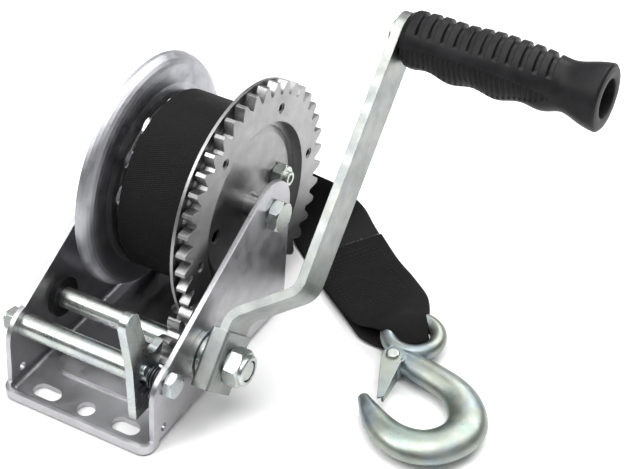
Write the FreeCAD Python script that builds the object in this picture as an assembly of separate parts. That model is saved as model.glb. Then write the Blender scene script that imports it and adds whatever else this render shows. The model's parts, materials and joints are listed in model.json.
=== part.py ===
import FreeCAD, Part
import math
import os
from FreeCAD import Vector, Placement, Rotation

# Boat trailer winch, millimetres.
# X runs across the winch towards the crank, Y runs from the front lip to the rear, Z is up.
# x = 0 is midway between the side plates, z = 0 the mounting face. The design below counts y
# from the front lip, and save() then moves every piece back by ORIGIN_Y, so that the origin
# lies on the flat of the mounting face behind the slots.

os.makedirs("parts", exist_ok=True)

# ---------------- driving sizes ----------------
FRAME_W = 95.0          # outside of one side plate to outside of the other
SHEET = 3.0             # frame sheet
BASE_L = 139.5          # front lip to rear edge
LIP_H = 6.5             # height of the front lip
DRUM_Y = 130.5          # drum axis from the front lip
DRUM_Z = 74.5           # drum axis above the mounting face
MODULE = 3.45           # gear module
GEAR_TEETH = 40
PINION_TEETH = 10
PRESSURE = 25.0         # pressure angle, degrees
GEAR_FACE = 5.9         # gear width
MESH_PLAY = 0.15        # added to the centre distance
LINE_ANGLE = 28.8       # crankshaft to drum axis, degrees above horizontal
FLANGE_IN = 0.2         # left drum flange rim inside the gear pitch circle
DISC_OUT = 2.8          # right drum flange beyond the gear pitch circle
FLANGE_T = 1.8          # flange sheet
STRAP_W = 48.0          # webbing width
STRAP_T = 1.6           # webbing thickness
LOOP_W = 16.0           # gathered strap in the hook eye
WIND_R = 53.0           # outside of the wound strap
BARREL_R = 22.0         # drum barrel
PAWL_Y = 23.3           # pawl bolt from the front lip
PAWL_Z = 36.0           # pawl bolt above the mounting face
CRANK_R = 194.0         # crankshaft to grip axis
ARM_ANGLE = 45.3        # arm direction above horizontal, degrees
ARM_W = 25.3            # arm bar width
ARM_T = 5.2             # arm bar thickness
GRIP_L = 112.0          # grip length
GRIP_R = 15.5           # grip radius at the arm end
GRIP_PIN_R = 4.5        # pin the grip turns on
ARM_END = 16.0          # arm below the shaft
CLIP_H = 33.0           # folded clip, along the arm
CLIP_IN = 3.5           # its inner leaf
CLIP_OUT = 2.6          # its outer leaf and web
SHAFT_R = 6.0           # crankshaft (M12 end)
AXLE_R = 5.0            # drum bolt M10
PIVOT_R = 4.0           # pawl bolt M8
EYE_R = 14.0            # hook eye, to the middle of its wire
EYE_WIRE = 4.7          # radius of that wire
RIVET_R = 2.2           # latch rivet
PIN_BOSS = 6.8          # round end of the hook neck
LATCH_T = 1.3           # latch sheet
LATCH_UP = 6.5          # underside of the latch leaf above the middle of the hook
SLOT_PITCH = 25.5       # base slots either side of the middle hole
SLOT_L = 17.0           # slot overall length
SLOT_W = 9.5            # slot width
SLOT_Y = 12.5           # slot row from the front lip
BASE_HOLE = 10.3        # round base holes
ORIGIN_Y = 24.0         # the origin from the front lip

# ---------------- clearances ----------------
RUN = 0.06              # running fit, on radius
SIDE = 0.4              # between bodies that pass each other
SEAT = 0.02             # between faces that are clamped together

# ---------------- derived ----------------
HALF = FRAME_W / 2.0
INNER = HALF - SHEET
PITCH_G = MODULE * GEAR_TEETH / 2.0
PITCH_P = MODULE * PINION_TEETH / 2.0
CENTRES = PITCH_G + PITCH_P + MESH_PLAY
FLANGE_R = PITCH_G - FLANGE_IN
DISC_R = PITCH_G + DISC_OUT
RIVET_RING = PITCH_G - 12.0         # circle of the gear rivets
LINE = math.radians(LINE_ANGLE)
CRANK_Y = DRUM_Y - CENTRES * math.cos(LINE)
CRANK_Z = DRUM_Z - CENTRES * math.sin(LINE)
DISC_X = INNER - 15.8               # inner face of the right drum flange
GEAR_X = DISC_X + FLANGE_T + SEAT   # back of the gear
LEFT_X = -INNER + 18.0              # inner face of the left drum flange
WIND_X1 = DISC_X - SIDE
WIND_X0 = WIND_X1 - STRAP_W - 0.8
PAWL_X0 = INNER - 14.5
PAWL_T = 5.0
HUB_X0 = HALF + 10.4                # inner face of the arm at the shaft
ARM_STEP = 31.4                     # sideways step of the arm
GRIP_X0 = HUB_X0 + ARM_STEP + ARM_T + SIDE
EYE = (128.0, 146.5, 9.0)           # centre of the hook eye
HOOK_Z = 8.3                        # middle of the hook body
PIN = (128.3, 120.8)                # latch rivet


def poly_yz(points, x0, x1):
    wire = Part.makePolygon([Vector(x0, y, z) for y, z in points] + [Vector(x0, points[0][0], points[0][1])])
    return Part.Face(wire).extrude(Vector(x1 - x0, 0, 0))


def cyl(x0, x1, r, y, z):
    return Part.makeCylinder(r, x1 - x0, Vector(x0, y, z), Vector(1, 0, 0))


def tube(x0, x1, r_out, r_in, y, z):
    return cyl(x0, x1, r_out, y, z).cut(cyl(x0 - 1, x1 + 1, r_in, y, z))


def hexagon(x0, x1, flats, y, z, turn=0.0):
    r = flats / math.sqrt(3.0)
    pts = []
    for k in range(6):
        a = math.radians(60 * k + turn)
        pts.append((y + r * math.cos(a), z + r * math.sin(a)))
    body = poly_yz(pts, x0, x1)
    cone_r = flats / 2.0
    h = x1 - x0
    outer = cyl(x0, x1, r - 0.05, y, z)
    edges = [e for e in outer.Edges if isinstance(e.Curve, Part.Circle)]
    rounded = outer.makeChamfer(min(r - cone_r, h * 0.3), edges)
    return body.common(rounded)


def revolve_x(profile, y, z):
    pts = [Vector(x, y + r, z) for x, r in profile]
    pts.append(pts[0])
    return Part.Face(Part.makePolygon(pts)).revolve(Vector(0, y, z), Vector(1, 0, 0), 360)


def save(name, shape):
    if shape.ShapeType == "Compound" and len(shape.Solids) == 1:
        shape = shape.Solids[0]
    shape = shape.removeSplitter() if shape.ShapeType == "Solid" else shape
    shape.translate(Vector(0, -ORIGIN_Y, 0))
    shape.exportStep("parts/" + name + ".step")
    box = shape.BoundBox
    print(name, "solids", len(shape.Solids), "valid", shape.isValid(), "vol", round(shape.Volume))
    print("   ", round(box.XMin, 1), round(box.XMax, 1), round(box.YMin, 1), end=" ")
    print(round(box.YMax, 1), round(box.ZMin, 1), round(box.ZMax, 1))


# ---------------- frame ----------------
def side_outline():
    # closed side view: lip, rear edge, rounded top round the drum bolt, sloping front edge
    top_y = DRUM_Y - 2.0
    top_z = DRUM_Z + 1.0
    top_r = 19.4
    slope = math.radians(25.9)
    tan_front = Vector(0, top_y - top_r * math.sin(slope), top_z + top_r * math.cos(slope))
    tan_rear = Vector(0, top_y + top_r, top_z - 2.0)
    top = Vector(0, top_y + top_r * math.sin(0.35), top_z + top_r * math.cos(0.35))
    run = (tan_front.y - 25.0) / math.cos(slope)
    knee = Vector(0, 25.0, tan_front.z - run * math.sin(slope))
    low = Vector(0, 9.0, knee.z - 15.5)
    mid = Vector(0, 13.2, knee.z - 5.6)
    a = Vector(0, 0, 0)
    b = Vector(0, BASE_L, 0)
    c = Vector(0, 7.0, LIP_H)
    d = Vector(0, 0, LIP_H)
    edges = [Part.makeLine(a, b), Part.makeLine(b, tan_rear)]
    edges.append(Part.Arc(tan_rear, top, tan_front).toShape())
    edges.append(Part.makeLine(tan_front, knee))
    edges.append(Part.Arc(knee, mid, low).toShape())
    edges.append(Part.makeLine(low, c))
    edges.append(Part.makeLine(c, d))
    edges.append(Part.makeLine(d, a))
    face = Part.Face(Part.Wire(edges))
    return face.extrude(Vector(FRAME_W + 2, 0, 0)).translated(Vector(-HALF - 1, 0, 0))


def rounded_box(x, y0, y1, z0, z1, r):
    box = Part.makeBox(2 * x, y1 - y0, z1 - z0, Vector(-x, y0, z0))
    edges = [e for e in box.Edges if abs(e.BoundBox.ZLength - (z1 - z0)) < 1e-6]
    return box.makeFillet(r, edges)


def slot_hole(x, y, length, width):
    half = (length - width) / 2.0
    body = Part.makeBox(2 * half, width, 20, Vector(x - half, y - width / 2.0, -8))
    for sign in (-1, 1):
        body = body.fuse(Part.makeCylinder(width / 2.0, 20, Vector(x + sign * half, y, -8)))
    return body


def channel():
    outer = Part.makeBox(FRAME_W, BASE_L + 20, 120, Vector(-HALF, 0, 0))
    keep = [e for e in outer.Edges if e.BoundBox.YLength > BASE_L and e.BoundBox.ZMax < 1.0]
    outer = outer.makeFillet(6.0, keep)
    inner = Part.makeBox(2 * INNER, BASE_L + 22, 121, Vector(-INNER, -1, SHEET))
    keep = [e for e in inner.Edges if e.BoundBox.YLength > BASE_L and e.BoundBox.ZMax < SHEET + 1.0]
    inner = inner.makeFillet(3.0, keep)
    return outer.cut(inner)


def winch_frame():
    body = channel().common(side_outline())
    body = body.cut(Part.makeBox(FRAME_W + 2, 8.0, 30, Vector(-HALF - 1, -1, -1)))
    pan = rounded_box(HALF, 0, 30, 0, LIP_H, 7.0)
    pan = pan.cut(rounded_box(INNER, SHEET, 40, SHEET, LIP_H + 9, 4.0))
    pan = pan.common(Part.makeBox(FRAME_W, 12, LIP_H, Vector(-HALF, 0, 0)))
    low = [e for e in pan.Edges if e.BoundBox.ZMax < 0.01 and e.BoundBox.YMax < 8.0]
    pan = pan.makeChamfer(1.2, low)
    body = body.fuse(pan)
    panel = rounded_box(INNER - 9.5, 29.0, BASE_L - 8, SHEET - 0.5, SHEET + 1.6, 8.0)
    under = rounded_box(INNER - 12.5, 32.0, BASE_L - 11, -0.5, 1.6, 6.0)
    body = body.fuse(panel).cut(under)
    for sign in (-1, 1):
        body = body.cut(slot_hole(sign * SLOT_PITCH, SLOT_Y, SLOT_L, SLOT_W))
    body = body.cut(Part.makeCylinder(BASE_HOLE / 2.0, 20, Vector(0, SLOT_Y, -5)))
    body = body.cut(Part.makeCylinder(BASE_HOLE / 2.0, 20, Vector(0, SLOT_Y + 92.5, -5)))
    gear_slot = rounded_box(6.5, 104.0, BASE_L + 20, -5, SHEET + 5, 4.0)
    body = body.cut(gear_slot.translated(Vector(DISC_X + 3.2, 0, 0)))
    body = body.cut(cyl(-60, 60, AXLE_R + 0.2, DRUM_Y, DRUM_Z))
    body = body.cut(cyl(-60, 60, PIVOT_R + 0.15, PAWL_Y, PAWL_Z))
    body = body.cut(cyl(-60, 60, SHAFT_R + 3.0 + SEAT, CRANK_Y, CRANK_Z))
    body = body.cut(cyl(-60, 60, 2.5, 16.7, 10.2))
    return body


# ---------------- drum ----------------
def drum_left_flange():
    # flat web with a shallow ridge, rim rolled away from the strap
    t = FLANGE_T
    r_roll = 9.5
    r_c = FLANGE_R - r_roll
    x_c = LEFT_X - r_roll
    outer = [(LEFT_X, 8.4), (LEFT_X, 40.0), (LEFT_X + 1.0, 44.0), (LEFT_X + 1.0, 49.0), (LEFT_X, 53.0)]
    inner = [(LEFT_X - t, 53.0), (LEFT_X - t + 1.0, 49.0), (LEFT_X - t + 1.0, 44.0), (LEFT_X - t, 40.0)]
    inner = inner + [(LEFT_X - t, 8.4)]
    for k in range(8):
        a = math.radians(90 - 12.5 * k)
        outer.append((x_c + r_roll * math.sin(a), r_c + r_roll * math.cos(a)))
    back = []
    for k in range(8):
        a = math.radians(90 - 12.5 * (7 - k))
        back.append((x_c + (r_roll - t) * math.sin(a), r_c + (r_roll - t) * math.cos(a)))
    body = revolve_x(outer + back + inner, DRUM_Y, DRUM_Z)
    for k in range(12):
        a = math.radians(15 + 30 * k)
        body = body.cut(cyl(LEFT_X - 9, LEFT_X + 9, 5.4, DRUM_Y + 40 * math.cos(a), DRUM_Z + 40 * math.sin(a)))
    y, z = anchor_place()
    return body.cut(cyl(LEFT_X - 9, LEFT_X + 9, PIVOT_R + 0.1, y, z))


def anchor_place():
    a = math.radians(5.0)
    return DRUM_Y + 29.0 * math.cos(a), DRUM_Z + 29.0 * math.sin(a)


def drum_right_flange():
    # flat disc, raised middle, rim set back so the gear teeth stand clear of it
    t = FLANGE_T
    p = PITCH_G
    face = [(DISC_X + 1.2, 8.4), (DISC_X + 1.2, p - 27.0), (DISC_X, p - 23.0), (DISC_X, p - 5.0)]
    face = face + [(DISC_X - 1.6, p - 2.0), (DISC_X - 1.6, DISC_R)]
    rear = [(x + t, r) for x, r in reversed(face)]
    body = revolve_x(face + rear, DRUM_Y, DRUM_Z)
    for k in range(6):
        a = math.radians(60 * k + 1)
        y = DRUM_Y + RIVET_RING * math.cos(a)
        z = DRUM_Z + RIVET_RING * math.sin(a)
        body = body.cut(cyl(DISC_X - 5, DISC_X + 5, 3.05, y, z))
    for k in range(2):
        a = math.radians(120 * k + 177)
        body = body.cut(cyl(DISC_X - 5, DISC_X + 5, 4.0, DRUM_Y + 34 * math.cos(a), DRUM_Z + 34 * math.sin(a)))
    y, z = anchor_place()
    return body.cut(cyl(DISC_X - 9, DISC_X + 9, PIVOT_R + 0.1, y, z))


def drum_barrel():
    body = tube(LEFT_X + SEAT, DISC_X + 1.2 - SEAT, BARREL_R, BARREL_R - 2.0, DRUM_Y, DRUM_Z)
    return body


def drum_bush(x0, x1):
    # flanged bush pressed in a drum flange, running on the axle sleeve
    return tube(x0, x1, 8.38, 6.5 + RUN, DRUM_Y, DRUM_Z)


def involute_wheel(teeth, r_tip, r_root, thin, phase, x0, x1, y, z):
    # one outline: involute flanks from formula, straight below the base circle
    r_p = MODULE * teeth / 2.0
    alpha = math.radians(PRESSURE)
    r_b = r_p * math.cos(alpha)
    inv_p = math.tan(alpha) - alpha
    half = math.pi / (2.0 * teeth) - thin / (2.0 * r_p)
    r_start = max(r_b, r_root)
    flank = [(r_root, half + inv_p + 0.02)] if r_root < r_b else []
    for k in range(6):
        r = r_start + (r_tip - r_start) * k / 5.0
        beta = math.acos(min(1.0, r_b / r))
        flank.append((r, half + inv_p - (math.tan(beta) - beta)))
    pts = []
    for n in range(teeth):
        mid = phase + 2.0 * math.pi * n / teeth
        tooth = [(r, mid - w) for r, w in flank]
        tooth = tooth + [(r, mid + w) for r, w in reversed(flank)]
        pts = pts + [(y + r * math.cos(a), z + r * math.sin(a)) for r, a in tooth]
    return poly_yz(pts, x0, x1)


def drum_gear():
    x0 = GEAR_X
    x1 = GEAR_X + GEAR_FACE
    phase = math.pi + LINE + math.pi / GEAR_TEETH
    tip = PITCH_G + 0.9 * MODULE
    root = PITCH_G - 1.2 * MODULE
    body = involute_wheel(GEAR_TEETH, tip, root, 0.2, phase, x0, x1, DRUM_Y, DRUM_Z)
    body = body.cut(cyl(x0 - 1, x1 + 1, PITCH_G - 19.4, DRUM_Y, DRUM_Z))
    for k in range(6):
        a = math.radians(60 * k + 1)
        y = DRUM_Y + RIVET_RING * math.cos(a)
        z = DRUM_Z + RIVET_RING * math.sin(a)
        body = body.cut(cyl(x0 - 1, x1 + 1, 3.05, y, z))
    return body


def gear_rivets():
    # flush hollow rivets that hold the gear to the flange
    shapes = []
    for k in range(6):
        a = math.radians(60 * k + 1)
        y = DRUM_Y + RIVET_RING * math.cos(a)
        z = DRUM_Z + RIVET_RING * math.sin(a)
        shapes.append(tube(DISC_X + SEAT, GEAR_X + GEAR_FACE - 0.6, 3.03, 2.1, y, z))
    return Part.Compound(shapes)


def strap_anchor_bolt():
    y, z = anchor_place()
    body = cyl(LEFT_X - FLANGE_T - SEAT, DISC_X + 12.4, PIVOT_R, y, z)
    head = hexagon(LEFT_X - FLANGE_T - SEAT - 5.3, LEFT_X - FLANGE_T - SEAT, 13.0, y, z, 12)
    body = body.fuse(head)
    return body.cut(cyl(DISC_X + 9.4, DISC_X + 14, 2.3, y, z))


def strap_anchor_nut():
    y, z = anchor_place()
    x0 = DISC_X + 1.2 + FLANGE_T + SEAT
    return hexagon(x0, x0 + 6.8, 13.0, y, z, 12).cut(cyl(x0 - 1, x0 + 9, PIVOT_R + SEAT, y, z))


def strap_winding():
    y, z = anchor_place()
    body = tube(WIND_X0, WIND_X1, WIND_R, BARREL_R + SEAT, DRUM_Y, DRUM_Z)
    return body.cut(cyl(WIND_X0 - 1, WIND_X1 + 1, PIVOT_R + SEAT, y, z))


def axle_bolt():
    head = hexagon(HALF + SEAT, HALF + 6.6, 16.6, DRUM_Y, DRUM_Z, 20)
    return head.fuse(cyl(-HALF - 12.0, HALF + 2, AXLE_R, DRUM_Y, DRUM_Z))


def axle_nut():
    body = hexagon(-HALF - 8.6, -HALF - SEAT, 16.6, DRUM_Y, DRUM_Z, 8)
    collar = cyl(-HALF - 10.2, -HALF - 8, 7.2, DRUM_Y, DRUM_Z)
    return body.fuse(collar).cut(cyl(-80, 0, AXLE_R + SEAT, DRUM_Y, DRUM_Z))


def axle_sleeve():
    return tube(-INNER + SEAT, INNER - SEAT, 6.5, AXLE_R + SEAT, DRUM_Y, DRUM_Z)


# ---------------- crankshaft ----------------
def crank_shaft():
    x1 = HUB_X0 + ARM_T + CLIP_OUT + 11.2
    body = cyl(-HALF - 4.6, x1, SHAFT_R, CRANK_Y, CRANK_Z)
    ends = [e for e in body.Edges if isinstance(e.Curve, Part.Circle)]
    body = body.makeChamfer(0.9, ends)
    groove = tube(-HALF - 3.0, -HALF - 1.8, SHAFT_R + 1, SHAFT_R - 0.9, CRANK_Y, CRANK_Z)
    return body.cut(groove)


def shaft_clip():
    ring = tube(-HALF - 2.95, -HALF - 1.85, SHAFT_R + 3.0, SHAFT_R - 0.85, CRANK_Y, CRANK_Z)
    gap = Part.makeBox(4, 5.0, 12, Vector(-HALF - 4, CRANK_Y - 2.5, CRANK_Z - 12))
    return ring.cut(gap)


def left_bush():
    body = tube(-HALF - 1.2, -INNER + 3.2, SHAFT_R + 3.0, SHAFT_R + RUN, CRANK_Y, CRANK_Z)
    return body.fuse(tube(-INNER + SEAT, -INNER + 3.2, SHAFT_R + 5.6, SHAFT_R + RUN, CRANK_Y, CRANK_Z))


def right_bush():
    body = tube(INNER - 0.4, HALF + 3.0, SHAFT_R + 3.0, SHAFT_R + RUN, CRANK_Y, CRANK_Z)
    return body.fuse(tube(HALF + SEAT, HALF + 3.0, 14.2, SHAFT_R + RUN, CRANK_Y, CRANK_Z))


def pinion():
    x0 = GEAR_X - 0.4
    x1 = GEAR_X + GEAR_FACE + 1.4
    tip = PITCH_P + 1.0 * MODULE
    root = PITCH_P - 1.2 * MODULE
    body = involute_wheel(PINION_TEETH, tip, root, 0.2, LINE, x0, x1, CRANK_Y, CRANK_Z)
    body = body.fuse(cyl(x1 - 1, INNER - 0.4 - SIDE, 9.4, CRANK_Y, CRANK_Z))
    return body.cut(cyl(x0 - 1, INNER + 1, SHAFT_R + SEAT, CRANK_Y, CRANK_Z))


def crank_washer():
    x0 = HALF + 3.0 + SIDE
    return tube(x0, x0 + 2.6, 12.2, SHAFT_R + SEAT, CRANK_Y, CRANK_Z)


def crank_spacer():
    x0 = HALF + 3.0 + SIDE + 2.6 + SEAT
    return tube(x0, HUB_X0 - CLIP_IN - SEAT, 11.4, SHAFT_R + SEAT, CRANK_Y, CRANK_Z)


# ---------------- crank arm ----------------
def arm_frame(shape):
    # built with the arm along +Z and its width along Y, then leaned back about the shaft
    shape.rotate(Vector(0, 0, 0), Vector(1, 0, 0), ARM_ANGLE - 90.0)
    return shape.translated(Vector(0, CRANK_Y, CRANK_Z))


def arm_side():
    # side view in (x, along): two parallel offset lines with rounded bends
    step = ARM_STEP
    x0 = HUB_X0 + ARM_T / 2.0
    a0 = 24.9
    rise = 0.77 * step
    top = CRANK_R + ARM_W / 2.0 + 4.0
    line = [Vector(x0, 0, -ARM_END - 1), Vector(x0, 0, a0), Vector(x0 + step, 0, a0 + rise), Vector(x0 + step, 0, top)]
    edges = []
    radius = 12.0
    ins = []
    for k in (1, 2):
        d0 = (line[k - 1] - line[k]).normalize()
        d1 = (line[k + 1] - line[k]).normalize()
        half = d0.getAngle(d1) / 2.0
        cut = radius / math.tan(half)
        bis = (d0 + d1).normalize()
        mid = line[k] + bis * (radius / math.sin(half) - radius)
        ins.append((line[k] + d0 * cut, mid, line[k] + d1 * cut))
    edges.append(Part.makeLine(line[0], ins[0][0]))
    edges.append(Part.Arc(*ins[0]).toShape())
    edges.append(Part.makeLine(ins[0][2], ins[1][0]))
    edges.append(Part.Arc(*ins[1]).toShape())
    edges.append(Part.makeLine(ins[1][2], line[3]))
    path = Part.Wire(edges)
    section = Part.makePolygon([
        Vector(x0 - ARM_T / 2.0, -40, -ARM_END - 1), Vector(x0 + ARM_T / 2.0, -40, -ARM_END - 1),
        Vector(x0 + ARM_T / 2.0, 40, -ARM_END - 1), Vector(x0 - ARM_T / 2.0, 40, -ARM_END - 1),
        Vector(x0 - ARM_T / 2.0, -40, -ARM_END - 1)])
    return path.makePipeShell([section], True, False)


def crank_arm():
    # flat bar with a round upper end
    w = ARM_W / 2.0
    low = -ARM_END
    edges = [Part.makeLine(Vector(0, -w, low), Vector(0, -w, CRANK_R))]
    edges.append(Part.Arc(Vector(0, -w, CRANK_R), Vector(0, 0, CRANK_R + w), Vector(0, w, CRANK_R)).toShape())
    edges.append(Part.makeLine(Vector(0, w, CRANK_R), Vector(0, w, low)))
    edges.append(Part.makeLine(Vector(0, w, low), Vector(0, -w, low)))
    blank = Part.Face(Part.Wire(edges)).extrude(Vector(ARM_STEP + 80, 0, 0)).translated(Vector(40, 0, 0))
    body = arm_side().common(blank)
    body = body.cut(Part.makeCylinder(SHAFT_R + SEAT, 40, Vector(HUB_X0 - 10, 0, 0), Vector(1, 0, 0)))
    hole = Part.makeCylinder(GRIP_PIN_R + SEAT, 60, Vector(GRIP_X0 - 40, 0, CRANK_R), Vector(1, 0, 0))
    return arm_frame(body.cut(hole))


def crank_clip():
    # folded plate round the lower end of the arm: inner leaf, rear web, outer leaf
    x0 = HUB_X0 - CLIP_IN
    x1 = HUB_X0 + ARM_T + CLIP_OUT
    w = ARM_W / 2.0 + SEAT
    outer = Part.makeBox(x1 - x0, 2 * w + CLIP_OUT, CLIP_H, Vector(x0, -w - CLIP_OUT, -CLIP_H / 2.0 - 0.3))
    keep = [e for e in outer.Edges if e.BoundBox.ZLength > CLIP_H - 1 and e.BoundBox.YMax < -w]
    outer = outer.makeFillet(2.0, keep)
    gap = Part.makeBox(ARM_T + 2 * SEAT, 2 * w + 5, CLIP_H + 20, Vector(HUB_X0 - SEAT, -w, -CLIP_H))
    body = outer.cut(gap)
    body = body.cut(Part.makeCylinder(SHAFT_R + SEAT, 60, Vector(x0 - 10, 0, 0), Vector(1, 0, 0)))
    return arm_frame(body)


def crank_nut():
    x0 = HUB_X0 + ARM_T + CLIP_OUT + SEAT
    body = hexagon(x0, x0 + 9.2, 19.0, CRANK_Y, CRANK_Z, 35)
    dome = cyl(x0 + 8, x0 + 11.7, 8.7, CRANK_Y, CRANK_Z)
    rim = [e for e in dome.Edges if isinstance(e.Curve, Part.Circle) and e.BoundBox.XMin > x0 + 10]
    dome = dome.makeFillet(1.4, rim)
    body = body.fuse(dome)
    body = body.cut(cyl(x0 - 1, x0 + 20, SHAFT_R + SEAT, CRANK_Y, CRANK_Z))
    return body.cut(cyl(x0 + 8.6, x0 + 11.0, 7.4, CRANK_Y, CRANK_Z))


def crank_nut_insert():
    x0 = HUB_X0 + ARM_T + CLIP_OUT + SEAT
    return tube(x0 + 8.62, x0 + 10.9, 7.38, SHAFT_R + SEAT, CRANK_Y, CRANK_Z)


def grip_place():
    a = math.radians(ARM_ANGLE)
    return CRANK_Y + CRANK_R * math.cos(a), CRANK_Z + CRANK_R * math.sin(a)


def grip_axle():
    # headed pin riveted in the arm
    y, z = grip_place()
    arm_x = HUB_X0 + ARM_STEP
    body = cyl(arm_x - 3.0, GRIP_X0 + GRIP_L - 12, GRIP_PIN_R, y, z)
    body = body.fuse(cyl(arm_x - 3.0, arm_x - SEAT, 8.0, y, z))
    head = cyl(GRIP_X0 + GRIP_L - 16.0, GRIP_X0 + GRIP_L - 12, 7.6, y, z)
    return body.fuse(head)


def grip():
    # grip with a shallow finger wave and a flared open end
    y, z = grip_place()
    x0 = GRIP_X0
    n = 22
    prof = [(x0, GRIP_PIN_R + RUN)]
    for k in range(n + 1):
        s = k / float(n)
        r = GRIP_R + 2.0 * math.sin(math.pi * min(1.0, s * 1.15)) + 3.6 * max(0.0, s - 0.78) / 0.22
        r = r + 0.35 * math.sin(s * 2.0 * math.pi * 4.0)
        prof.append((x0 + GRIP_L * s, r))
    prof = prof + [(x0 + GRIP_L, 11.5), (x0 + GRIP_L - 16.3, 10.0), (x0 + GRIP_L - 16.3, GRIP_PIN_R + RUN)]
    return revolve_x(prof, y, z)


# ---------------- pawl ----------------
def pawl():
    # flat lever: finger up, claw back, tail down
    y = PAWL_Y
    z = PAWL_Z
    p = lambda a, b: Vector(PAWL_X0, y + a, z + b)
    edges = [Part.makeLine(p(-13.3, -21.8), p(-13.3, 14.0))]
    edges.append(Part.makeLine(p(-13.3, 14.0), p(-16.4, 41.0)))
    edges.append(Part.Arc(p(-16.4, 41.0), p(-10.6, 49.2), p(-4.0, 42.0)).toShape())
    edges.append(Part.makeLine(p(-4.0, 42.0), p(0.6, 20.5)))
    edges.append(Part.Arc(p(0.6, 20.5), p(3.4, 13.2), p(9.4, 12.2)).toShape())
    edges.append(Part.makeLine(p(9.4, 12.2), p(15.2, 13.0)))
    edges.append(Part.makeLine(p(15.2, 13.0), p(9.6, 1.0)))
    edges.append(Part.Arc(p(9.6, 1.0), p(8.8, -8.0), p(2.5, -21.8)).toShape())
    edges.append(Part.makeLine(p(2.5, -21.8), p(-13.3, -21.8)))
    body = Part.Face(Part.Wire(edges)).extrude(Vector(PAWL_T, 0, 0))
    return body.cut(cyl(PAWL_X0 - 1, PAWL_X0 + 9, PIVOT_R + RUN, PAWL_Y, PAWL_Z))


def pawl_stud():
    x0 = PAWL_X0 + PAWL_T + SEAT
    body = cyl(x0, x0 + 1.5, 2.8, PAWL_Y - 3.6, PAWL_Z + 6.6)
    rim = [e for e in body.Edges if isinstance(e.Curve, Part.Circle) and e.BoundBox.XMin > x0 + 1]
    return body.makeFillet(0.8, rim)


def pawl_bolt():
    head = hexagon(HALF + SEAT, HALF + 5.5, 13.0, PAWL_Y, PAWL_Z, 15)
    return head.fuse(cyl(-HALF - 9.0, HALF + 2, PIVOT_R, PAWL_Y, PAWL_Z))


def pawl_nut():
    body = hexagon(-HALF - 6.6, -HALF - SEAT, 13.0, PAWL_Y, PAWL_Z, 5)
    return body.cut(cyl(-80, 0, PIVOT_R + SEAT, PAWL_Y, PAWL_Z))


def pawl_sleeve():
    return tube(-INNER + SEAT, PAWL_X0 - SIDE, 6.5, PIVOT_R + SEAT, PAWL_Y, PAWL_Z)


def pawl_spring():
    # torsion spring round the bolt, one leg standing on the frame floor side
    x0 = PAWL_X0 + PAWL_T + 1.7
    wire_r = 0.75
    mean = 5.4
    turns = 3.6
    pitch = 1.75
    helix = Part.makeHelix(pitch, pitch * turns, mean)
    start = Vector(mean, 0, 0)
    profile = Part.Wire(Part.makeCircle(wire_r, start, Vector(0, 1, 0)))
    coil = Part.Wire(helix).makePipeShell([profile], True, True)
    a = 2.0 * math.pi * turns
    end = Vector(mean * math.cos(a), mean * math.sin(a), pitch * turns)
    tail = Part.makeCylinder(wire_r, 11.0, end, Vector(-math.sin(a), math.cos(a), 0))
    lead = Part.makeCylinder(wire_r, 9.0, start, Vector(0, -1, 0))
    body = coil.fuse(tail).fuse(lead)
    body.Placement = Placement(Vector(x0, PAWL_Y, PAWL_Z), Rotation(Vector(0, 1, 0), 90)).multiply(body.Placement)
    return body


# ---------------- strap and hook ----------------
def between(p, q, r, s, u):
    # smooth curve through q and r, one number at a time
    out = []
    for a, b, c, d in zip(p, q, r, s):
        m0 = (c - a) / 2.0
        m1 = (d - b) / 2.0
        k = (2 * u ** 3 - 3 * u ** 2 + 1) * b + (u ** 3 - 2 * u ** 2 + u) * m0
        out.append(k + (3 * u ** 2 - 2 * u ** 3) * c + (u ** 3 - u ** 2) * m1)
    return out


def ribbon(stations, steps):
    # flat band: each station is a centre, the direction across the band, its width and its thickness
    rows = [list(c) + list(w) + [width, thick] for c, w, width, thick in stations]
    rows = [rows[0]] + rows + [rows[-1]]
    dense = []
    for k in range(1, len(rows) - 2):
        for j in range(steps):
            dense.append(between(rows[k - 1], rows[k], rows[k + 1], rows[k + 2], j / float(steps)))
    dense.append(rows[-1])
    wires = []
    last = len(dense) - 1
    for k, row in enumerate(dense):
        m = Vector(*row[0:3])
        u = Vector(*row[3:6]).normalize()
        along = Vector(*dense[min(last, k + 1)][0:3]) - Vector(*dense[max(0, k - 1)][0:3])
        v = along.cross(u).normalize() * (row[7] / 2.0)
        u = u * (row[6] / 2.0)
        wires.append(Part.makePolygon([m - u - v, m - u + v, m + u + v, m + u - v, m - u - v]))
    return Part.makeLoft(wires, True, True)


def loop_solid(mid, run, axis, r, width):
    # stadium cylinder: r round mid and round mid + run
    start = mid - axis * (width / 2.0)
    other = start + run
    side = axis.cross(run).normalize() * r
    body = Part.makeCylinder(r, width, start, axis).fuse(Part.makeCylinder(r, width, other, axis))
    flat = Part.makePolygon([start + side, other + side, other - side, start - side, start + side])
    return body.fuse(Part.Face(flat).extrude(axis * width))


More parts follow.
